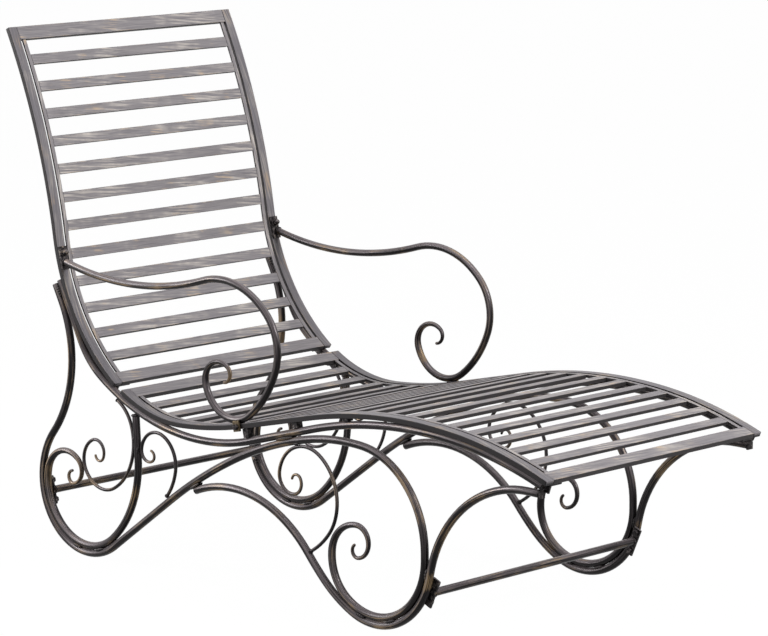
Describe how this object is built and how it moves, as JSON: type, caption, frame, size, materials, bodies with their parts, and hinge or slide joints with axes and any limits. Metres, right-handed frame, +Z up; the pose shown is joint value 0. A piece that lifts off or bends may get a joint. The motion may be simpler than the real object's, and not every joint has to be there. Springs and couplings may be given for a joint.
{
  "type": "sun lounger",
  "caption": "Wrought iron sun lounger with a slatted bent seat and backrest, scrolled side frames and open scroll armrests.",
  "frame": {"origin": "middle of the bounding box at floor level", "axes": "+X from the backrest to the foot end, +Y across to the sitter's left, +Z up"},
  "size_m": [1.4506, 0.6182, 1.0463],
  "materials": {
    "frame_metal": "satin dark brown grey paint, rubbed through to bronze on the high spots",
    "panel_metal": "satin grey paint with lengthwise brushed streaks and pale bronze rubs",
    "hardware": "satin painted steel fasteners"
  },
  "bodies": {
    "root": {"angle_tabs": "frame_metal", "arm_left": "frame_metal", "arm_plates": "frame_metal", "arm_right": "frame_metal", "arm_screws": "hardware", "arm_studs": "hardware", "arm_tabs": "frame_metal", "arm_washers": "hardware", "back_bottom_rail": "panel_metal", "back_rail_left": "panel_metal", "back_rail_right": "panel_metal", "back_slats_1": "panel_metal", "back_slats_2": "panel_metal", "back_slats_3": "panel_metal", "back_slats_4": "panel_metal", "back_strip_left": "panel_metal", "back_strip_right": "panel_metal", "back_top_rail": "panel_metal", "bar_bolts": "hardware", "bar_plates": "frame_metal", "dome_nuts": "hardware", "front_bar": "frame_metal", "front_brackets": "frame_metal", "front_leg_left": "frame_metal", "front_leg_right": "frame_metal", "front_rod_left": "frame_metal", "front_rod_right": "frame_metal", "mid_rod_left": "frame_metal", "mid_rod_right": "frame_metal", "rear_bar": "frame_metal", "rear_leg_left": "frame_metal", "rear_leg_right": "frame_metal", "rear_loop_left": "frame_metal", "rear_loop_right": "frame_metal", "rear_rod_left": "frame_metal", "rear_rod_right": "frame_metal", "seat_front_rail": "panel_metal", "seat_rail_left": "panel_metal", "seat_rail_right": "panel_metal", "seat_rear_rail": "panel_metal", "seat_slats_1": "panel_metal", "seat_slats_2": "panel_metal", "seat_slats_3": "panel_metal", "seat_slats_4": "panel_metal", "seat_slats_5": "panel_metal", "seat_slats_6": "panel_metal", "seat_slats_7": "panel_metal", "seat_strip_left": "panel_metal", "seat_strip_right": "panel_metal", "seat_tube_left": "frame_metal", "seat_tube_right": "frame_metal", "spacers": "frame_metal", "tab_bolts": "hardware"}
  },
  "joints": []
}
